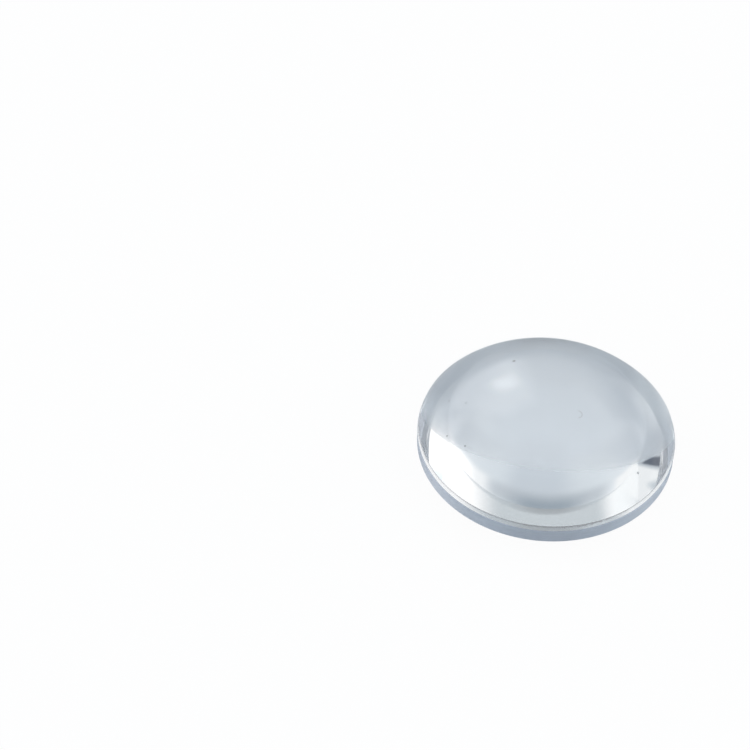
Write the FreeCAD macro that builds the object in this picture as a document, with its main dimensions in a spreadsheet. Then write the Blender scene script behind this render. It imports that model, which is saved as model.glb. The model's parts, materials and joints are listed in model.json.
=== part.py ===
import FreeCAD, Part
import math
import os
import Sketcher

# Double-convex condenser lens, ground from one piece of clear glass.
#
# A round blank is turned to its diameter, with the ground edge and a bevel
# above and below it. Two spherical faces are then ground into the blank, so
# the lens is what the blank shares with two spheres.
#
# +Z is the optical axis and points out of the steep front face, which is
# turned up. The origin is the vertex of the shallow back face, the point on
# which the lens rests. All sizes are in millimetres.

NODE = "lens"

# driving dimensions: name, value, what it is
SIZES = (
    ("lens_diameter", 50.0, "outside diameter of the ground edge"),
    ("edge_width", 3.0, "length of the ground cylindrical edge along the axis"),
    ("front_radius", 32.0, "radius of curvature of the steep front face"),
    ("back_radius", 120.0, "radius of curvature of the shallow back face"),
    ("front_bevel_width", 0.3, "how far the front bevel reaches in from the edge"),
    ("front_bevel_height", 1.0, "length of the steep front bevel along the axis"),
    ("back_bevel_leg", 0.45, "leg of the 45 degree bevel at the back rim"),
)

# radii and heights that follow from them, as formulas of the sheet
EDGE_RADIUS = "(sizes.lens_diameter / 2)"
BACK_RIM_RADIUS = f"({EDGE_RADIUS} - sizes.back_bevel_leg)"
FRONT_RIM_RADIUS = f"({EDGE_RADIUS} - sizes.front_bevel_width)"
BACK_RIM_HEIGHT = f"(sizes.back_radius - sqrt(sizes.back_radius^2 - {BACK_RIM_RADIUS}^2))"
EDGE_LOW_HEIGHT = f"({BACK_RIM_HEIGHT} + sizes.back_bevel_leg)"
EDGE_HIGH_HEIGHT = f"({EDGE_LOW_HEIGHT} + sizes.edge_width)"
FRONT_RIM_HEIGHT = f"({EDGE_HIGH_HEIGHT} + sizes.front_bevel_height)"
FRONT_CENTRE_HEIGHT = f"({FRONT_RIM_HEIGHT} - sqrt(sizes.front_radius^2 - {FRONT_RIM_RADIUS}^2))"
FRONT_VERTEX_HEIGHT = f"({FRONT_CENTRE_HEIGHT} + sizes.front_radius)"

# the blank is thicker than the lens by the glass that grinding takes away
GROUND_OFF_BACK = "sizes.back_bevel_leg"
GROUND_OFF_FRONT = "sizes.front_bevel_height"
BLANK_TOP_HEIGHT = f"({FRONT_VERTEX_HEIGHT} + {GROUND_OFF_FRONT})"
FRONT_BEVEL_SLOPE = "(sizes.front_bevel_width / sizes.front_bevel_height)"
BLANK_TOP_INSET = f"(({BLANK_TOP_HEIGHT} - {EDGE_HIGH_HEIGHT}) * {FRONT_BEVEL_SLOPE})"
BLANK_BOTTOM_INSET = f"({EDGE_LOW_HEIGHT} + {GROUND_OFF_BACK})"


def make_sheet(doc):
    """Put the driving dimensions into a spreadsheet, one row for each."""
    sheet = doc.addObject("Spreadsheet::Sheet", "sizes")
    for row, (name, value, note) in enumerate(SIZES, start=1):
        sheet.set(f"A{row}", name)
        sheet.set(f"B{row}", str(value))
        sheet.set(f"C{row}", note)
        sheet.setAlias(f"B{row}", name)
    doc.recompute()
    return sheet


def origin_plane(body, role):
    """Return the body's own origin plane that has this role."""
    for feature in body.Origin.OriginFeatures:
        if feature.Role == role:
            return feature
    raise ValueError(f"{body.Label} has no plane {role}")


def draw_blank_section(body, sheet):
    """Draw half the blank's section and dimension it from the sheet."""
    sketch = body.newObject("Sketcher::SketchObject", "blank_section")
    sketch.AttachmentSupport = (origin_plane(body, "XZ_Plane"), [""])
    sketch.MapMode = "FlatFace"

    def number(formula):
        """Return what a formula comes to with the sizes in the sheet."""
        return float(sheet.evalExpression(formula))

    def corner(x, z):
        """Return a corner: x out from the axis, z along it."""
        return FreeCAD.Vector(x, z, 0.0)

    def line(a, b):
        """Add one straight edge of the section."""
        return sketch.addGeometry(Part.LineSegment(a, b))

    radius = number(EDGE_RADIUS)
    bottom = -number(GROUND_OFF_BACK)
    top = number(BLANK_TOP_HEIGHT)
    bottom_centre = corner(0.0, bottom)
    bottom_rim = corner(radius - number(BLANK_BOTTOM_INSET), bottom)
    edge_low = corner(radius, number(EDGE_LOW_HEIGHT))
    edge_high = corner(radius, number(EDGE_HIGH_HEIGHT))
    top_rim = corner(radius - number(BLANK_TOP_INSET), top)
    top_centre = corner(0.0, top)

    # outline, anticlockwise from the axis
    underside = line(bottom_centre, bottom_rim)
    back_bevel = line(bottom_rim, edge_low)
    edge = line(edge_low, edge_high)
    front_bevel = line(edge_high, top_rim)
    upper_side = line(top_rim, top_centre)
    axis = line(top_centre, bottom_centre)
    outline = (underside, back_bevel, edge, front_bevel, upper_side, axis)

    start, end = 1, 2
    sketch_origin, sketch_axis = -1, -2

    # corners meet, and the section is closed along the optical axis
    for this, following in zip(outline, outline[1:] + outline[:1]):
        sketch.addConstraint(Sketcher.Constraint("Coincident", this, end, following, start))
    sketch.addConstraint(Sketcher.Constraint("Horizontal", underside))
    sketch.addConstraint(Sketcher.Constraint("Vertical", edge))
    sketch.addConstraint(Sketcher.Constraint("Horizontal", upper_side))
    sketch.addConstraint(Sketcher.Constraint("PointOnObject", axis, start, sketch_axis))
    sketch.addConstraint(Sketcher.Constraint("PointOnObject", axis, end, sketch_axis))

    def dimension(name, formula, kind, *where):
        """Add one dimension and bind it to the sheet."""
        constraint = sketch.addConstraint(Sketcher.Constraint(kind, *where, number(formula)))
        sketch.renameConstraint(constraint, name)
        sketch.setExpression(f"Constraints.{name}", formula)

    dimension("edge_radius", EDGE_RADIUS, "DistanceX", sketch_origin, start, edge, start)
    dimension("edge_low_height", EDGE_LOW_HEIGHT, "DistanceY", sketch_origin, start, edge, start)
    dimension("edge_width", "sizes.edge_width", "DistanceY", edge, start, edge, end)
    dimension("ground_off_back", GROUND_OFF_BACK, "DistanceY", underside, start, sketch_origin, start)
    dimension("bottom_inset", BLANK_BOTTOM_INSET, "DistanceX", underside, end, edge, start)
    dimension("top_height", BLANK_TOP_HEIGHT, "DistanceY", sketch_origin, start, upper_side, end)
    dimension("top_inset", BLANK_TOP_INSET, "DistanceX", upper_side, start, edge, end)
    sketch.Document.recompute()
    if not sketch.FullyConstrained:
        raise ValueError("the blank's section isn't fully dimensioned")
    return sketch


def turn_blank(doc, sheet):
    """Turn the blank: the ground edge with the cone of each bevel."""
    body = doc.addObject("PartDesign::Body", "blank")
    sketch = draw_blank_section(body, sheet)
    turned = body.newObject("PartDesign::Revolution", "turned_blank")
    turned.Profile = sketch
    turned.ReferenceAxis = (sketch, ["V_Axis"])
    turned.Angle = 360.0
    doc.recompute()
    return body


def make_face_sphere(doc, name, radius, centre_height, seam_turn):
    """Make the sphere of one polished face.

    Its poles lie level with its centre, on the X axis, so that they and the
    seam between them stay clear of the face.
    """
    poles_level = FreeCAD.Rotation(FreeCAD.Vector(0, 1, 0), 90)
    seam_away = FreeCAD.Rotation(FreeCAD.Vector(1, 0, 0), seam_turn)
    sphere = doc.addObject("Part::Sphere", name)
    sphere.Placement = FreeCAD.Placement(FreeCAD.Vector(), seam_away.multiply(poles_level))
    sphere.setExpression("Radius", radius)
    sphere.setExpression("Placement.Base.z", centre_height)
    return sphere


def make_lens(doc, sheet):
    """Grind both faces into the blank."""
    blank = turn_blank(doc, sheet)
    back_face = make_face_sphere(doc, "back_face", "sizes.back_radius", "sizes.back_radius", 180)
    front_face = make_face_sphere(doc, "front_face", "sizes.front_radius", FRONT_CENTRE_HEIGHT, 0)
    lens = doc.addObject("Part::MultiCommon", NODE)
    lens.Shapes = [blank, back_face, front_face]
    lens.Label = NODE
    lens.Placement = FreeCAD.Placement()
    return lens


def check(doc, parts):
    """Stop if a feature failed or a piece isn't one sound solid."""
    for item in doc.Objects:
        if "Invalid" in item.State or "Error" in item.State:
            raise ValueError(f"{item.Label} failed: {item.State}")
    for part in parts:
        shape = part.Shape
        if shape.isNull() or not shape.isValid() or len(shape.Solids) != 1:
            raise ValueError(f"{part.Label} isn't one sound solid")


def lens_volume(sheet):
    """Return the volume of the glass by formula: two caps, two cones, the edge."""
    def cap(radius, rim):
        rise = radius - math.sqrt(radius**2 - rim**2)
        return math.pi * rise**2 * (3 * radius - rise) / 3

    def cone(a, b, height):
        return math.pi * height * (a**2 + a * b + b**2) / 3

    edge = sheet.lens_diameter / 2
    back_rim = edge - sheet.back_bevel_leg
    front_rim = edge - sheet.front_bevel_width
    return (
        cap(sheet.back_radius, back_rim)
        + cone(back_rim, edge, sheet.back_bevel_leg)
        + math.pi * edge**2 * sheet.edge_width
        + cone(edge, front_rim, sheet.front_bevel_height)
        + cap(sheet.front_radius, front_rim)
    )


def report(sheet, lens):
    """Print the sizes that an optician would read off a drawing."""
    glass_index = 1.517
    box = lens.Shape.optimalBoundingBox(False)
    front = sheet.front_radius
    back = sheet.back_radius
    thickness = box.ZLength
    bending = glass_index - 1
    power = bending * (1 / front + 1 / back - bending * thickness / (glass_index * front * back))
    print(f"diameter {box.XLength:.3f}, centre thickness {thickness:.3f}")
    print(f"focal length {1 / power:.2f}")
    print(f"volume {lens.Shape.Volume:.2f} cubic millimetres, by formula {lens_volume(sheet):.2f}")


def main():
    """Build the lens and write its solid."""
    doc = FreeCAD.newDocument("condenser_lens")
    sheet = make_sheet(doc)
    lens = make_lens(doc, sheet)
    doc.recompute()
    check(doc, [lens])
    os.makedirs("parts", exist_ok=True)
    lens.Shape.exportStep(f"parts/{lens.Label}.step")
    report(sheet, lens)


main()
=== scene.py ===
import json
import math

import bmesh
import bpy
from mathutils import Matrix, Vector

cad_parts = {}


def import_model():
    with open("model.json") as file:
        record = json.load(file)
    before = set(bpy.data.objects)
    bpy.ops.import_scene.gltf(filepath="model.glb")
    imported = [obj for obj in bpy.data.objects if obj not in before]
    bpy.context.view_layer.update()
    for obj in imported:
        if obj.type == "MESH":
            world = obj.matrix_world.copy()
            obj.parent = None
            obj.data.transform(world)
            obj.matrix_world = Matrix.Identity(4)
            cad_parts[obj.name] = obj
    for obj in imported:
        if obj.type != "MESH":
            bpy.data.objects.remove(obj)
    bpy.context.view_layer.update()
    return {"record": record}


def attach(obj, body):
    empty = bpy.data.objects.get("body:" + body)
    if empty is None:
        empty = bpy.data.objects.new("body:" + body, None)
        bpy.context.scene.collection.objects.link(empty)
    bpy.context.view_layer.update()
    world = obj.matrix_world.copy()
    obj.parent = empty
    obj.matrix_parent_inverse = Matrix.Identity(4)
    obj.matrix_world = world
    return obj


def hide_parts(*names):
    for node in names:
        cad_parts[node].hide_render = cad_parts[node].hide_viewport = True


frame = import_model()

# %% [markdown]
# # A double-convex condenser lens
# A condenser lens is one disc of clear glass. Both faces are polished
# spheres, one steep and one shallow, and the rim between them is ground matt.
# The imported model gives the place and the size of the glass. Blender adds
# what CAD can't: a very fine mesh, glass that bends light, and a studio to
# see it in, because clear glass only ever shows its surroundings.

# %% [markdown]
# ## Sizes
# The frame says how wide and how thick the lens is, and its one mount, the
# ground edge, says where the cylindrical rim starts and ends. Only the two
# radii and the bevels have to be written down again.

# %% Sizes in metres
MM = 0.001
edge_mount = frame["record"]["mounts"][0]
edge_radius = edge_mount["dims"]["r_mm"] * MM
edge_width = edge_mount["dims"]["length_mm"] * MM
edge_low_z = edge_mount["pos_m"][2] - edge_width / 2
edge_high_z = edge_low_z + edge_width

front_radius = 32.0 * MM
back_radius = 120.0 * MM
front_bevel_width = 0.3 * MM
front_bevel_height = 1.0 * MM
back_bevel_leg = 0.45 * MM
print(f"ground edge: {2 * edge_radius / MM:.1f} mm wide")
print(f"it runs from {edge_low_z / MM:.2f} to {edge_high_z / MM:.2f} mm up")

# %% [markdown]
# ## The outline of the glass
# A lens is turned and ground, so every cut through its axis has one outline,
# and that outline is all there is to draw. The faces are arcs. The corners
# where two surfaces meet are broken by a tiny radius, as on any lens that
# has been handled: a perfectly sharp corner never catches the light.

# %% Corners of the outline
back_rim = Vector((edge_radius - back_bevel_leg, edge_low_z - back_bevel_leg))
edge_low = Vector((edge_radius, edge_low_z))
edge_high = Vector((edge_radius, edge_high_z))
front_rim = Vector((edge_radius - front_bevel_width, edge_high_z + front_bevel_height))
front_centre = Vector((0.0, front_rim.y - math.sqrt(front_radius**2 - front_rim.x**2)))
back_centre = Vector((0.0, back_rim.y + math.sqrt(back_radius**2 - back_rim.x**2)))
thickness = front_centre.y + front_radius - (back_centre.y - back_radius)
print(f"centre thickness: {thickness / MM:.2f} mm")


# %% Outward normals of the surfaces, in the plane of the outline
def line_normal(start, end):
    """The outward normal of a straight stretch, with the glass on its left."""
    along = (end - start).normalized()
    return Vector((along.y, -along.x))


back_rim_normal = (back_rim - back_centre).normalized()
back_bevel_normal = line_normal(back_rim, edge_low)
edge_normal = line_normal(edge_low, edge_high)
front_bevel_normal = line_normal(edge_high, front_rim)
front_rim_normal = (front_rim - front_centre).normalized()
rim_turn = math.degrees(front_bevel_normal.angle(front_rim_normal))
print(f"the front rim turns by {rim_turn:.0f} degrees")


# %% Arcs and straight stretches, as points with their normals
CORNER_STEPS = 5


def arc(centre, radius, start, end, count):
    """Points on a circle. Angles are from straight up, in radians."""
    points = []
    for step in range(count + 1):
        angle = start + (end - start) * step / count
        normal = Vector((math.sin(angle), math.cos(angle)))
        points.append((centre + radius * normal, normal))
    return points


def line(start, end, normal, count):
    """Evenly spaced points on a straight stretch, both ends included."""
    return [(start.lerp(end, step / count), normal) for step in range(count + 1)]


def round_corner(corner, normal_before, normal_after, radius):
    """A small arc that breaks a corner, and how far it reaches along both sides."""
    turn = normal_before.angle(normal_after)
    reach = radius * math.tan(turn / 2)
    towards = Vector((-normal_before.y, normal_before.x))
    centre = corner - reach * towards - radius * normal_before
    start = math.atan2(normal_before.x, normal_before.y)
    return arc(centre, radius, start, start - turn, CORNER_STEPS), reach


# %% The four broken corners
CORNER_RADIUS = 0.06 * MM
FRONT_RIM_CORNER = 0.10 * MM
back_rim_arc, back_reach = round_corner(back_rim, back_rim_normal, back_bevel_normal, CORNER_RADIUS)
edge_low_arc, _ = round_corner(edge_low, back_bevel_normal, edge_normal, CORNER_RADIUS)
edge_high_arc, _ = round_corner(edge_high, edge_normal, front_bevel_normal, CORNER_RADIUS)
front_rim_arc, front_reach = round_corner(
    front_rim, front_bevel_normal, front_rim_normal, FRONT_RIM_CORNER)
print(f"the front rim's radius takes {front_reach / MM:.3f} mm off the face")

# %% The outline, from the back vertex round the edge to the front vertex
BACK, BACK_BEVEL, EDGE, FRONT_BEVEL, FRONT = range(5)
BACK_STEPS, BACK_BEVEL_STEPS, EDGE_STEPS, FRONT_BEVEL_STEPS, FRONT_STEPS = 48, 3, 8, 4, 120
back_slope = math.asin(back_rim.x / back_radius) - back_reach / back_radius
front_slope = math.asin(front_rim.x / front_radius) - front_reach / front_radius
stretches = (
    (BACK, arc(back_centre, back_radius, math.pi, math.pi - back_slope, BACK_STEPS)),
    (BACK_BEVEL, back_rim_arc),
    (BACK_BEVEL, line(back_rim_arc[-1][0], edge_low_arc[0][0], back_bevel_normal, BACK_BEVEL_STEPS)),
    (EDGE, edge_low_arc),
    (EDGE, line(edge_low_arc[-1][0], edge_high_arc[0][0], edge_normal, EDGE_STEPS)),
    (FRONT_BEVEL, edge_high_arc),
    (FRONT_BEVEL, line(edge_high_arc[-1][0], front_rim_arc[0][0], front_bevel_normal, FRONT_BEVEL_STEPS)),
    (FRONT_BEVEL, front_rim_arc),
    (FRONT, arc(front_centre, front_radius, front_slope, 0.0, FRONT_STEPS)),
)
print("points on the outline:", sum(len(points) for _, points in stretches))

# %% [markdown]
# ## Turning the outline
# A Screw modifier would turn it too. Building the rings in code keeps each
# stretch apart, so that every face knows whether it is polished or ground,
# and so that the normals can be exact: light bends by the normal, and a
# normal that is only averaged from the facets puts ripples into the view.

# %% Rings of vertices, one for each point of the outline
SEGMENTS = 256
AXIS_REACH = 1e-9


def turned(flat, segment):
    """A point or normal of the outline, turned about the optical axis."""
    angle = math.tau * segment / SEGMENTS
    return flat.x * math.cos(angle), flat.x * math.sin(angle), flat.y


def make_rings():
    """The vertices, and for each point of the outline the ring of their numbers."""
    vertices, rings = [], []
    for _, points in stretches:
        for point, _ in points[1:] if rings else points:
            if point.x < AXIS_REACH:
                rings.append([len(vertices)] * SEGMENTS)
                vertices.append((0.0, 0.0, point.y))
            else:
                rings.append(range(len(vertices), len(vertices) + SEGMENTS))
                vertices.extend(turned(point, segment) for segment in range(SEGMENTS))
    return vertices, rings


# %% Faces between the rings, with a normal for each of their corners
def make_faces(rings):
    """The faces, the stretch that each belongs to, and the normals of their corners."""
    faces, zones, normals = [], [], []
    ring_pairs = zip(rings, rings[1:])
    for zone, points in stretches:
        for (start, start_normal), (end, end_normal) in zip(points, points[1:]):
            low, high = next(ring_pairs)
            for segment in range(SEGMENTS):
                after = (segment + 1) % SEGMENTS
                corners = [
                    (low[segment], start_normal, segment),
                    (low[after], start_normal, segment + 1),
                    (high[after], end_normal, segment + 1),
                    (high[segment], end_normal, segment),
                ]
                if start.x < AXIS_REACH:
                    del corners[1]
                elif end.x < AXIS_REACH:
                    del corners[3]
                faces.append([vertex for vertex, _, _ in corners])
                zones.append(zone)
                normals.extend(turned(normal, turn) for _, normal, turn in corners)
    return faces, zones, normals


def turn_outline(name):
    """Turn the outline about the optical axis into one closed mesh."""
    vertices, rings = make_rings()
    faces, zones, normals = make_faces(rings)
    mesh = bpy.data.meshes.new(name)
    mesh.from_pydata(vertices, [], faces)
    mesh.polygons.foreach_set("use_smooth", [True] * len(faces))
    mesh.validate()
    mesh.normals_split_custom_set(normals)
    piece = bpy.data.objects.new(name, mesh)
    bpy.context.collection.objects.link(piece)
    return piece, zones


lens, zones = turn_outline("condenser_lens")
print(f"lens: {len(lens.data.vertices)} vertices, {len(lens.data.polygons)} faces")

# %% [markdown]
# ## Helpers for node trees
# A finish is mostly sums: a noise is stretched, a spot fades out, one colour
# covers another. Each helper below adds one node and hands back its result,
# so that a finish further down reads as a few lines of what it does.


# %% Sums and smooth steps
def put(tree, socket, value):
    """Set a socket to a number, or link it to another node's result."""
    if isinstance(value, (int, float)):
        socket.default_value = value
    else:
        tree.links.new(value, socket)


def sum_of(tree, operation, *values):
    """Add one Math node to a tree and return its result."""
    node = tree.nodes.new("ShaderNodeMath")
    node.operation = operation
    for socket, value in zip(node.inputs, values):
        put(tree, socket, value)
    return node.outputs["Value"]


def remap(tree, value, from_low, from_high, to_low, to_high, shape="LINEAR"):
    """Spread the values from from_low to from_high over to_low to to_high."""
    node = tree.nodes.new("ShaderNodeMapRange")
    node.interpolation_type = shape
    put(tree, node.inputs["Value"], value)
    put(tree, node.inputs["From Min"], from_low)
    put(tree, node.inputs["From Max"], from_high)
    put(tree, node.inputs["To Min"], to_low)
    put(tree, node.inputs["To Max"], to_high)
    return node.outputs["Result"]


def before(tree, value, start, end):
    """1 before start, 0 beyond end, and a smooth step between them."""
    return remap(tree, value, start, end, 1.0, 0.0, "SMOOTHSTEP")


def beyond(tree, value, start, end):
    """0 before start, 1 beyond end, and a smooth step between them."""
    return remap(tree, value, start, end, 0.0, 1.0, "SMOOTHSTEP")


# %% Vectors
def vector_sum(tree, operation, vector, other, result="Vector"):
    """Add one Vector Math node with a fixed second vector and return its result."""
    node = tree.nodes.new("ShaderNodeVectorMath")
    node.operation = operation
    tree.links.new(vector, node.inputs[0])
    node.inputs[1].default_value = other
    return node.outputs[result]


def parts_of(tree, vector):
    """The X, Y and Z of a vector."""
    node = tree.nodes.new("ShaderNodeSeparateXYZ")
    tree.links.new(vector, node.inputs["Vector"])
    return node.outputs["X"], node.outputs["Y"], node.outputs["Z"]


def object_place(tree):
    """Where a point is on the object itself, in metres."""
    return tree.nodes.new("ShaderNodeTexCoord").outputs["Object"]


# %% Noise
NOISE_LOW, NOISE_HIGH = 0.3, 0.7


def noise(tree, place, scale, detail, stretch=(1.0, 1.0, 1.0)):
    """Noise, mostly from NOISE_LOW to NOISE_HIGH. A larger stretch packs it more closely."""
    node = tree.nodes.new("ShaderNodeTexNoise")
    tree.links.new(vector_sum(tree, "MULTIPLY", place, stretch), node.inputs["Vector"])
    node.inputs["Scale"].default_value = scale
    node.inputs["Detail"].default_value = detail
    return node.outputs["Fac"]


# %% Colours
def plain(tree, colour):
    """One colour as a node's result, to paint on."""
    node = tree.nodes.new("ShaderNodeRGB")
    node.outputs["Color"].default_value = (*colour, 1.0)
    return node.outputs["Color"]


def paint(tree, base, mask, colour):
    """Lay a colour over the base where the mask is 1."""
    node = tree.nodes.new("ShaderNodeMix")
    node.data_type = "RGBA"
    tree.links.new(mask, node.inputs["Factor"])
    tree.links.new(base, node.inputs["A"])
    node.inputs["B"].default_value = (*colour, 1.0)
    return node.outputs["Result"]


# %% Compass directions
def compass(tree, vector):
    """Azimuth from +Y towards +X and elevation of a direction, in degrees."""
    x, y, z = parts_of(tree, vector)
    azimuth = sum_of(tree, "DEGREES", sum_of(tree, "ARCTAN2", x, y))
    elevation = sum_of(tree, "DEGREES", sum_of(tree, "ARCSINE", z))
    return azimuth, elevation


def turn_from(tree, azimuth, other):
    """How many degrees one compass direction is past another, from -180 to 180."""
    return sum_of(tree, "WRAP", sum_of(tree, "SUBTRACT", azimuth, other), 180.0, -180.0)


# %% [markdown]
# ## Polished glass
# Crown glass bends light by an index of 1.517 and is very nearly colourless.
# The Glass node would do, but the Principled shader with full transmission
# exports better. Its index and its transmission stay plain numbers on the
# shader. Perfectly even glass looks like a drawing, so the polish has a faint
# haze that comes and goes over a centimetre, and the front face carries what
# the real one does: six specks of dust and one short curled hair.

# %% Clear glass
GLASS_INDEX = 1.517


def glass_material(name, transmission=1.0):
    """A clear glass material, ready for its finish."""
    material = bpy.data.materials.new(name)
    material.use_nodes = True
    shader = material.node_tree.nodes["Principled BSDF"]
    shader.inputs["Transmission Weight"].default_value = transmission
    shader.inputs["IOR"].default_value = GLASS_INDEX
    return material, material.node_tree, shader


# %% Dust and a hair on the front face
SPECKS = (
    # x, y and width in millimetres
    (-6.35, 8.48, 0.40),
    (-18.97, 2.10, 0.22),
    (-15.86, -0.41, 0.22),
    (-19.55, -6.02, 0.28),
    (-16.30, -9.64, 0.24),
    (15.99, -14.48, 0.32),
)
HAIR_PLACE = (4.85, -6.30)
HAIR_BEND = 0.75 * MM
HAIR_CORE = 0.02 * MM
HAIR_SOFT_EDGE = 0.10 * MM
HAIR_COVER = 0.7


def on_front_face(x, y):
    """The point of the front face above a place given in millimetres."""
    across = math.hypot(x, y) * MM
    return x * MM, y * MM, front_centre.y + math.sqrt(front_radius**2 - across**2)


def dust_mask(tree, place):
    """1 on each speck of dust, with a soft rim."""
    mask = 0.0
    for x, y, width in SPECKS:
        out = vector_sum(tree, "DISTANCE", place, on_front_face(x, y), "Value")
        mask = sum_of(tree, "MAXIMUM", mask, before(tree, out, 0.5 * width * MM, width * MM))
    return mask


def hair_mask(tree, place):
    """The right half of a thin ring, which is what a short curled hair looks like."""
    middle = on_front_face(*HAIR_PLACE)
    out = vector_sum(tree, "DISTANCE", place, middle, "Value")
    off_ring = sum_of(tree, "ABSOLUTE", sum_of(tree, "SUBTRACT", out, HAIR_BEND))
    right_half = sum_of(tree, "GREATER_THAN", parts_of(tree, place)[0], middle[0])
    return sum_of(tree, "MULTIPLY", before(tree, off_ring, HAIR_CORE, HAIR_SOFT_EDGE), right_half)


# %% Polished glass, put together
CLEAR = (1.0, 1.0, 1.0)
DIRT = (0.30, 0.30, 0.31)
DIRT_ROUGHNESS = 0.5
HAZE_SCALE, HAZE_DETAIL = 90.0, 3.0
HAZE_START, HAZE_FULL = 0.5, 0.75
HAZE_ROUGHNESS = 0.035


def make_polished_glass():
    """Clear polished glass with a faint haze and a little dirt."""
    material, tree, shader = glass_material("polished_glass")
    place = object_place(tree)
    hair = sum_of(tree, "MULTIPLY", hair_mask(tree, place), HAIR_COVER)
    dirt = sum_of(tree, "MAXIMUM", dust_mask(tree, place), hair)
    cloud = noise(tree, place, HAZE_SCALE, HAZE_DETAIL)
    haze = remap(tree, cloud, HAZE_START, HAZE_FULL, 0.0, HAZE_ROUGHNESS)
    tree.links.new(paint(tree, plain(tree, CLEAR), dirt, DIRT), shader.inputs["Base Color"])
    matt_dirt = sum_of(tree, "MULTIPLY", dirt, DIRT_ROUGHNESS)
    tree.links.new(sum_of(tree, "MAXIMUM", haze, matt_dirt), shader.inputs["Roughness"])
    return material


polished_glass = make_polished_glass()
print("polished glass: specks of dust:", len(SPECKS))

# %% [markdown]
# ## Ground glass
# The edge is left as the grinding wheel leaves it: a fine matt skin that lets
# light in and scatters it, blue-grey beside the bright faces. A third of it
# is plain diffuse, the rest is very rough glass. The wheel runs round the
# lens, so the tone is a noise packed nine times as closely along the axis,
# which draws it out into streaks round the edge with no seam anywhere. The
# grit is a far finer noise that moves both the roughness and the relief.

# %% Ground glass, put together
GROUND_DARK = (0.42, 0.475, 0.57)
GROUND_LIGHT = (0.49, 0.55, 0.65)
GROUND_TRANSMISSION = 0.65
STREAK_SCALE, STREAK_DETAIL = 260.0, 4.0
STREAK_STRETCH = (1.0, 1.0, 9.0)
GRIT_SCALE, GRIT_DETAIL = 4200.0, 2.0
GRIT_SMOOTHEST, GRIT_ROUGHEST = 0.38, 0.54
GRIT_STRENGTH = 0.35
GRIT_DEPTH = 0.02 * MM


def make_ground_glass():
    """Matt glass with streaks round the edge and a fine grit."""
    material, tree, shader = glass_material("ground_glass", GROUND_TRANSMISSION)
    place = object_place(tree)
    streaks = noise(tree, place, STREAK_SCALE, STREAK_DETAIL, STREAK_STRETCH)
    lighter = remap(tree, streaks, NOISE_LOW, NOISE_HIGH, 0.0, 1.0)
    tone = paint(tree, plain(tree, GROUND_DARK), lighter, GROUND_LIGHT)
    tree.links.new(tone, shader.inputs["Base Color"])
    grit = noise(tree, place, GRIT_SCALE, GRIT_DETAIL)
    roughness = remap(tree, grit, NOISE_LOW, NOISE_HIGH, GRIT_SMOOTHEST, GRIT_ROUGHEST)
    tree.links.new(roughness, shader.inputs["Roughness"])
    relief = tree.nodes.new("ShaderNodeBump")
    relief.inputs["Strength"].default_value = GRIT_STRENGTH
    relief.inputs["Distance"].default_value = GRIT_DEPTH
    tree.links.new(grit, relief.inputs["Height"])
    tree.links.new(relief.outputs["Normal"], shader.inputs["Normal"])
    return material


ground_glass = make_ground_glass()
print(f"ground glass: roughness {GRIT_SMOOTHEST} to {GRIT_ROUGHEST}")

# %% [markdown]
# ## The front bevel
# The steep bevel is smoother than the edge and shines, but its upper corner,
# the rim, is where a lens is knocked. Along the rim lies a matt line as thin
# as a hair, dark with painted shade, and where chips have come off, the line
# grows teeth. So the distance below the rim sets the painted tone, and a noise
# moves the limit of it within the chipped places.

# %% Where the rim is chipped
TOOTH_SCALE, TOOTH_DETAIL = 1500.0, 2.0
TOOTH_START, TOOTH_FULL = 0.48, 0.56
STRETCH_SCALE, STRETCH_DETAIL = 110.0, 1.0
STRETCH_START, STRETCH_FULL = 0.54, 0.60
CHIPPED_PLACE = (0.26 * edge_radius, -0.96 * edge_radius, front_rim.y)
CHIPPED_INSIDE = 4.0 * MM
CHIPPED_OUTSIDE = 6.0 * MM


def chip_mask(tree, place):
    """1 on the teeth of the chipped stretches of the rim."""
    fine = noise(tree, place, TOOTH_SCALE, TOOTH_DETAIL)
    teeth = remap(tree, fine, TOOTH_START, TOOTH_FULL, 0.0, 1.0)
    coarse = noise(tree, place, STRETCH_SCALE, STRETCH_DETAIL)
    here_and_there = remap(tree, coarse, STRETCH_START, STRETCH_FULL, 0.0, 1.0)
    out = vector_sum(tree, "DISTANCE", place, CHIPPED_PLACE, "Value")
    at_front = before(tree, out, CHIPPED_INSIDE, CHIPPED_OUTSIDE)
    return sum_of(tree, "MULTIPLY", teeth, sum_of(tree, "MAXIMUM", here_and_there, at_front))


# %% Front bevel, put together
BEVEL_CLEAR = (0.93, 0.94, 0.96)
RIM_SHADE_AND_CHIPS = (0.40, 0.39, 0.40)
LINE_SOUND = 0.02 * MM
LINE_CHIPPED = 0.44 * MM
LINE_END = 0.46 * MM
LINE_ROUGHNESS = 0.30
TURNING_SCALE, TURNING_DETAIL = 420.0, 3.0
TURNING_STRETCH = (1.0, 1.0, 7.0)
BEVEL_SMOOTHEST, BEVEL_ROUGHEST = 0.05, 0.12


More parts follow.
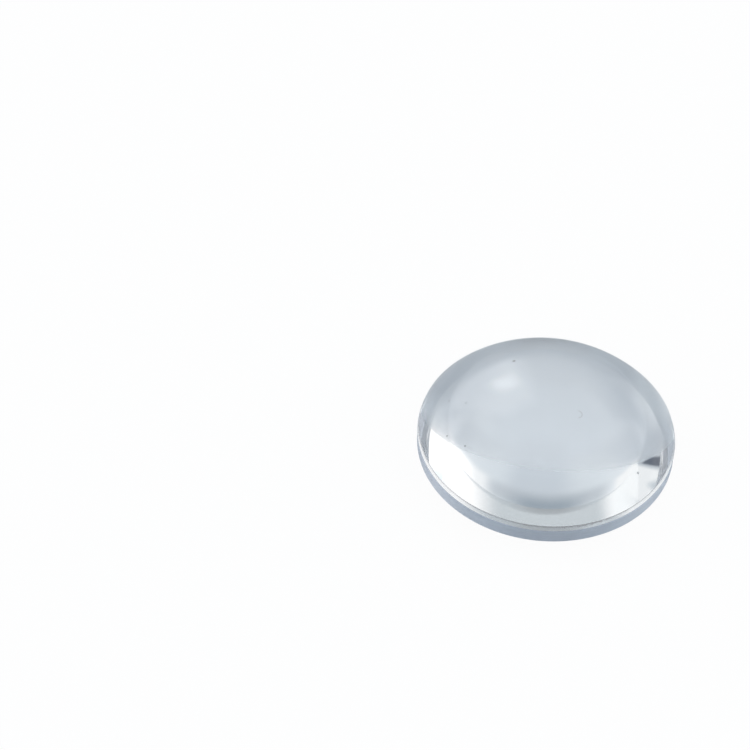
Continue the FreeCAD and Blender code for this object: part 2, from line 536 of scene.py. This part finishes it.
def make_bevel_glass():
    """Nearly smooth glass with turning marks, a chipped rim and painted shade along it."""
    material, tree, shader = glass_material("bevel_glass")
    place = object_place(tree)
    below_rim = sum_of(tree, "SUBTRACT", front_rim.y, parts_of(tree, place)[2])
    tooth = remap(tree, chip_mask(tree, place), 0.0, 1.0, LINE_SOUND, LINE_CHIPPED)
    # Painted shade: a dark line along the rim, widened into teeth where it is chipped.
    rim_shade_and_chips = before(tree, below_rim, tooth, LINE_END)
    tone = paint(tree, plain(tree, BEVEL_CLEAR), rim_shade_and_chips, RIM_SHADE_AND_CHIPS)
    tree.links.new(tone, shader.inputs["Base Color"])
    marks = noise(tree, place, TURNING_SCALE, TURNING_DETAIL, TURNING_STRETCH)
    turning = remap(tree, marks, NOISE_LOW, NOISE_HIGH, BEVEL_SMOOTHEST, BEVEL_ROUGHEST)
    matt_rim = sum_of(tree, "MULTIPLY", rim_shade_and_chips, LINE_ROUGHNESS)
    tree.links.new(sum_of(tree, "MAXIMUM", turning, matt_rim), shader.inputs["Roughness"])
    return material


bevel_glass = make_bevel_glass()
print(f"bevel: a dark line up to {LINE_END / MM:.2f} mm wide along the rim")

# %% [markdown]
# ## The finished lens
# Each stretch of the outline now gets its finish, and the lens takes the
# place of its CAD solid, which stays in the scene, hidden. The lens
# takes the place of its CAD solid, which stays behind it for collisions
# only.

# %% Finish of each stretch, and the lens in the frame
finishes = (polished_glass, ground_glass, bevel_glass)
for finish in finishes:
    lens.data.materials.append(finish)
finish_of = {BACK: 0, BACK_BEVEL: 1, EDGE: 1, FRONT_BEVEL: 2, FRONT: 0}
lens.data.polygons.foreach_set("material_index", [finish_of[zone] for zone in zones])
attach(lens, "root")
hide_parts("lens")
print("finishes:", ", ".join(finish.name for finish in finishes))

# %% [markdown]
# ## The card under the lens
# The lens lies on pale card, which runs out to pure white. A thin sheet with
# a diffuse shader takes the soft shadow. It lies a hair below the lens, or
# the two surfaces would cross at the vertex.

# %% Sheet of card
FLOOR_RADIUS = 1.6
FLOOR_SEGMENTS = 96
FLOOR_DROP = 0.02 * MM


def make_floor():
    """A round sheet of card, a hair below the vertex of the lens."""
    mesh = bpy.data.meshes.new("floor")
    form = bmesh.new()
    bmesh.ops.create_circle(form, cap_ends=True, segments=FLOOR_SEGMENTS, radius=FLOOR_RADIUS)
    form.to_mesh(mesh)
    form.free()
    sheet = bpy.data.objects.new("floor", mesh)
    sheet.location.z = -FLOOR_DROP
    bpy.context.collection.objects.link(sheet)
    return sheet


floor = make_floor()
print(f"card: {2 * FLOOR_RADIUS:.1f} m wide, {FLOOR_DROP / MM:.2f} mm below the lens")

# %% [markdown]
# ## What looks at the card
# Light Path tells the card what is looking at it. The camera sees it lifted
# to white. Rays that come out of the glass see it nearly as it is lit, and
# they are told apart by how often they were mirrored inside: not at all, for
# the middle of the lens, once for the band below it, or twice for the white
# patches at both sides, which see the card beside the lens at a low angle.

# %% Three kinds of ray from the glass
UNDER_ONE, UNDER_TWO = 0.5, 1.5

card = bpy.data.materials.new("pale_card")
card.use_nodes = True
tree = card.node_tree
card_shader = tree.nodes["Principled BSDF"]
card_shader.inputs["Roughness"].default_value = 1.0
card_shader.inputs["Specular IOR Level"].default_value = 0.0

path = tree.nodes.new("ShaderNodeLightPath")
mirrorings = path.outputs["Glossy Depth"]
from_glass = sum_of(tree, "MAXIMUM", path.outputs["Is Glossy Ray"], path.outputs["Is Transmission Ray"])
straight = sum_of(tree, "MULTIPLY", from_glass, sum_of(tree, "LESS_THAN", mirrorings, UNDER_ONE))
mirrored = sum_of(tree, "MULTIPLY", from_glass, sum_of(tree, "GREATER_THAN", mirrorings, UNDER_ONE))
mirrored_twice = sum_of(tree, "MULTIPLY", from_glass, sum_of(tree, "GREATER_THAN", mirrorings, UNDER_TWO))
print("nodes that tell the rays apart:", len(tree.nodes))

# %% [markdown]
# ## The card's colour
# A grey zone behind the lens stands for the dim far side of the real table.
# It is what draws the dark line along the upper outline and the dark crescent
# near the lower one. Straight down through the glass the card carries a painted
# shadow of the lens, darker towards the rim, with a few painted pools of light.

# %% Zones of the card
CARD_WHITE = (0.9, 0.9, 0.9)
CARD_COOL = (0.90, 0.925, 0.955)
CARD_GREY = (0.24, 0.25, 0.26)
CARD_MID_GREY = (0.46, 0.49, 0.51)
CARD_SHADED = (0.60, 0.66, 0.73)
GREY_AZIMUTH = 4.0
GREY_FADE = (40.0, 58.0)
GREY_REACH = (1.1 * edge_radius, 1.7 * edge_radius)
MID_GREY_FADE = (2.0, 20.0)
HERE = (0.0, 0.0, 0.0)

place = object_place(tree)
card_azimuth, _ = compass(tree, place)
off_grey = sum_of(tree, "ABSOLUTE", turn_from(tree, card_azimuth, GREY_AZIMUTH))
reach = vector_sum(tree, "LENGTH", place, HERE, "Value")
behind = sum_of(tree, "MULTIPLY", before(tree, off_grey, *GREY_FADE), beyond(tree, reach, *GREY_REACH))
grey_zone = sum_of(tree, "MULTIPLY", behind, from_glass)
grey_mirrored = sum_of(tree, "MULTIPLY", behind, mirrored)
grey_sides = sum_of(tree, "MULTIPLY", grey_mirrored, beyond(tree, off_grey, *MID_GREY_FADE))
print(f"the grey zone starts {GREY_REACH[0] / MM:.1f} mm from the axis")


# %% Painted shadow and pools of light straight under the glass
def oval(x, y, half_width, half_depth, start, end):
    """A soft oval on the card. Its place and size are in radii of the lens."""
    from_middle = vector_sum(tree, "SUBTRACT", place, (x * edge_radius, y * edge_radius, 0.0))
    squeeze = (1 / (half_width * edge_radius), 1 / (half_depth * edge_radius), 0.0)
    squeezed = vector_sum(tree, "MULTIPLY", from_middle, squeeze)
    return before(tree, vector_sum(tree, "LENGTH", squeezed, HERE, "Value"), start, end)


MIDDLE = (0.0, 0.0, 0.5, 0.75, 0.65, 1.3)
PAINTED_LIGHT_SPOTS = (
    # x, y, half width, half depth, where its fade starts and ends, colour
    (0.69, 0.42, 0.16, 0.26, 0.4, 1.3, (0.80, 0.86, 0.91)),
    (-0.70, 0.28, 0.13, 0.18, 0.3, 1.4, (0.80, 0.86, 0.92)),
    (0.34, -0.22, 0.20, 0.12, 0.3, 1.4, (0.97, 0.99, 1.00)),
    (-0.42, -0.18, 0.16, 0.14, 0.3, 1.4, (0.97, 0.99, 1.00)),
)
# Painted shadow of the lens: the card darkens outside the middle oval, towards the rim.
painted_lens_shadow = sum_of(tree, "SUBTRACT", 1.0, oval(*MIDDLE))

card_colour = paint(tree, plain(tree, CARD_WHITE), straight, CARD_COOL)
card_colour = paint(tree, card_colour, grey_zone, CARD_GREY)
card_colour = paint(tree, card_colour, grey_sides, CARD_MID_GREY)
card_colour = paint(tree, card_colour, sum_of(tree, "MULTIPLY", painted_lens_shadow, straight), CARD_SHADED)
# Painted pools of light, paler than the painted shadow around them.
for *size, colour in PAINTED_LIGHT_SPOTS:
    card_colour = paint(tree, card_colour, sum_of(tree, "MULTIPLY", oval(*size), straight), colour)
tree.links.new(card_colour, card_shader.inputs["Base Color"])
print("spots on the card:", len(PAINTED_LIGHT_SPOTS))

# %% [markdown]
# ## The card's lift
# Lifting means mixing in a little light of the card's own. For the camera it
# is nearly all of it. For rays that were mirrored twice it is too, because
# they skim the card beside the lens, which is bright to the left and to the
# right of a dim strip in the middle.

# %% Lift
LIFT_FOR_CAMERA = 0.95
LIFT_FOR_GLASS = 0.12
LIFT_FOR_TWICE = 0.9
STRIP_MIDDLE = 0.06 * edge_radius
STRIP_START = 0.13 * edge_radius
STRIP_END = 0.27 * edge_radius
GLOW_STRIP = (0.57, 0.62, 0.65)
GLOW_RIGHT = (1.06, 1.06, 1.06)
GLOW_LEFT = (0.96, 0.99, 1.0)

card_x, _, _ = parts_of(tree, place)
off_strip = sum_of(tree, "ABSOLUTE", sum_of(tree, "SUBTRACT", card_x, STRIP_MIDDLE))
beside = sum_of(tree, "MULTIPLY", mirrored_twice, beyond(tree, off_strip, STRIP_START, STRIP_END))
beside_left = sum_of(tree, "MULTIPLY", beside, sum_of(tree, "LESS_THAN", card_x, 0.0))
glow_colour = paint(tree, plain(tree, CLEAR), mirrored_twice, GLOW_STRIP)
glow_colour = paint(tree, glow_colour, beside, GLOW_RIGHT)
glow_colour = paint(tree, glow_colour, beside_left, GLOW_LEFT)
glow = tree.nodes.new("ShaderNodeEmission")
tree.links.new(glow_colour, glow.inputs["Color"])

lift = sum_of(tree, "MULTIPLY", from_glass, LIFT_FOR_GLASS)
for rays, much in ((mirrored_twice, LIFT_FOR_TWICE), (path.outputs["Is Camera Ray"], LIFT_FOR_CAMERA)):
    lift = sum_of(tree, "MAXIMUM", lift, sum_of(tree, "MULTIPLY", rays, much))
lifted = tree.nodes.new("ShaderNodeMixShader")
tree.links.new(lift, lifted.inputs["Fac"])
tree.links.new(card_shader.outputs["BSDF"], lifted.inputs[1])
tree.links.new(glow.outputs["Emission"], lifted.inputs[2])
tree.links.new(lifted.outputs["Shader"], tree.nodes["Material Output"].inputs["Surface"])
floor.data.materials.append(card)
print("nodes in the card:", len(tree.nodes))

# %% [markdown]
# ## The room
# Glass has no look of its own, so the room around it matters more than any
# finish. This one is a white tent: cool light from above, brighter walls to
# the left and right, a dim side behind the camera and a grey wall low down
# behind the lens. It is painted on the world by compass direction, one soft
# panel over another. Lamps would light it as well, but the shapes that show
# in the glass are shapes of the room, and on the world they are easy to aim.

# %% One soft panel
world = bpy.data.worlds.new("studio")
bpy.context.scene.world = world
world.use_nodes = True
tree = world.node_tree
azimuth, elevation = compass(tree, tree.nodes.new("ShaderNodeTexCoord").outputs["Generated"])


def panel(at_azimuth, at_elevation, half_width, half_height, soft, lean=0.0):
    """A mask that is 1 on a panel and fades out over soft degrees. It may lean."""
    turn = turn_from(tree, azimuth, at_azimuth)
    rise = sum_of(tree, "SUBTRACT", elevation, at_elevation)
    rise = sum_of(tree, "SUBTRACT", rise, sum_of(tree, "MULTIPLY", turn, lean))
    wide = before(tree, sum_of(tree, "ABSOLUTE", turn), half_width - soft / 2, half_width + soft / 2)
    high = before(tree, sum_of(tree, "ABSOLUTE", rise), half_height - soft / 2, half_height + soft / 2)
    return sum_of(tree, "MULTIPLY", wide, high)


# %% Walls of the room
CEILING = (0.84, 0.94, 1.02)
WALLS = (
    # azimuth, elevation, half width, half height, soft, colour
    (92, 12, 52, 30, 24, (1.60, 1.65, 1.68)),
    (-86, 12, 58, 30, 24, (1.60, 1.65, 1.68)),
    (180, 20, 48, 38, 24, (0.34, 0.37, 0.41)),
    (4, 10, 56, 30, 10, (0.66, 0.72, 0.77)),
    (9, 16, 13, 30, 14, (0.55, 0.61, 0.67)),
    (41, 1, 11, 14, 8, (0.86, 0.89, 0.91)),
    (62, 0, 20, 14, 12, (1.30, 1.30, 1.30)),
    (-51, 0, 24, 13, 5, (0.86, 0.88, 0.89)),
    (4, 7, 26, 7, 9, (0.51, 0.56, 0.61)),
    (5, 0, 13, 9.5, 15, (0.26, 0.32, 0.38)),
)
room = plain(tree, CEILING)
for *size, colour in WALLS:
    room = paint(tree, room, panel(*size), colour)
print("panels on the walls:", len(WALLS))

# %% [markdown]
# ## Panels for the glass alone
# Some small bright and dark shapes belong to the view through the rim or to
# the mirror image on the front face, and must light nothing else. Cycles
# calls a ray refracted by smooth glass a glossy ray as well, so a mirror
# image is what is glossy and hasn't been transmitted.

# %% Seen through the rim, and mirrored on the front face
THROUGH_RIM = (
    # azimuth, elevation, half width, half height, soft, lean, colour
    (122, 49, 9, 8, 4, 0.0, (1.15, 1.15, 1.15)),
    (-104, 48, 11, 9, 4, 0.0, (0.44, 0.49, 0.54)),
    (-103, 52, 8, 5.5, 1.5, -0.5, (0.80, 0.83, 0.85)),
    (-97, 47, 1.5, 2.5, 2, 0.0, (0.46, 0.52, 0.57)),
    (-103.6, 44.3, 2.7, 1.5, 1, -0.5, (0.04, 0.06, 0.10)),
)
ON_FRONT_FACE = (
    (-27, 35, 21, 25, 14, 0.0, (2.0, 2.05, 2.1)),
    (-20, 35, 6, 7, 11, 0.0, (4.3, 4.4, 4.4)),
)
ray = tree.nodes.new("ShaderNodeLightPath")
transmitted = ray.outputs["Is Transmission Ray"]
not_transmitted = sum_of(tree, "SUBTRACT", 1.0, transmitted)
only_mirrored = sum_of(tree, "MULTIPLY", ray.outputs["Is Glossy Ray"], not_transmitted)
for seen_by, panels in ((transmitted, THROUGH_RIM), (only_mirrored, ON_FRONT_FACE)):
    for *size, colour in panels:
        room = paint(tree, room, sum_of(tree, "MULTIPLY", panel(*size), seen_by), colour)
tree.links.new(room, tree.nodes["Background"].inputs["Color"])
print("panels for the glass:", len(THROUGH_RIM) + len(ON_FRONT_FACE))

# %% [markdown]
# ## Camera
# The picture is square. A round edge seen from above is an ellipse, and its
# height over its width gives the tilt. The width gives the distance, once a
# focal length is chosen, and the middle of the ellipse gives the place. The
# camera looks along its own tilt and is only moved sideways and up, so the
# lens stands where it does in the photograph with no shift of the picture.

# %% Camera
PICTURE = 750
SENSOR = 36.0
NEAREST, FARTHEST = 0.01, 20.0
FOCAL_PIXELS = 1785.0
CAMERA_TILT = math.radians(45.9)
CENTRE_U, CENTRE_V = 544.8, 441.5
PIXELS_PER_RADIUS = 127.7

distance_out = FOCAL_PIXELS / PIXELS_PER_RADIUS * edge_radius
rightwards = Vector((1.0, 0.0, 0.0))
forwards = Vector((0.0, math.cos(CAMERA_TILT), -math.sin(CAMERA_TILT)))
upwards = Vector((0.0, math.sin(CAMERA_TILT), math.cos(CAMERA_TILT)))
to_lens = distance_out * (
    (CENTRE_U - PICTURE / 2) / FOCAL_PIXELS * rightwards
    - (CENTRE_V - PICTURE / 2) / FOCAL_PIXELS * upwards
    + forwards
)
camera_data = bpy.data.cameras.new("camera")
camera_data.sensor_width = SENSOR
camera_data.lens = FOCAL_PIXELS / PICTURE * SENSOR
camera_data.clip_start = NEAREST
camera_data.clip_end = FARTHEST
camera = bpy.data.objects.new("camera", camera_data)
camera.location = Vector((0.0, 0.0, edge_low_z)) - to_lens
camera.rotation_euler = (math.pi / 2 - CAMERA_TILT, 0.0, 0.0)
bpy.context.collection.objects.link(camera)
print(f"camera: {distance_out:.3f} m away, focal length {camera_data.lens:.1f} mm")

# %% [markdown]
# ## Light that goes round inside the rim
# Near the rim light is mirrored many times before it gets out. Blender stops
# after four mirrorings, which leaves black wedges there, so the limits go up.

# %% Camera, colours and bounces of the scene
MOST_BOUNCES = 32
MOST_MIRRORINGS = 24

scene = bpy.context.scene
scene.camera = camera
scene.view_settings.view_transform = "Standard"
scene.cycles.max_bounces = MOST_BOUNCES
scene.cycles.glossy_bounces = MOST_MIRRORINGS
scene.cycles.transmission_bounces = MOST_MIRRORINGS
print("light may be mirrored", MOST_MIRRORINGS, "times")
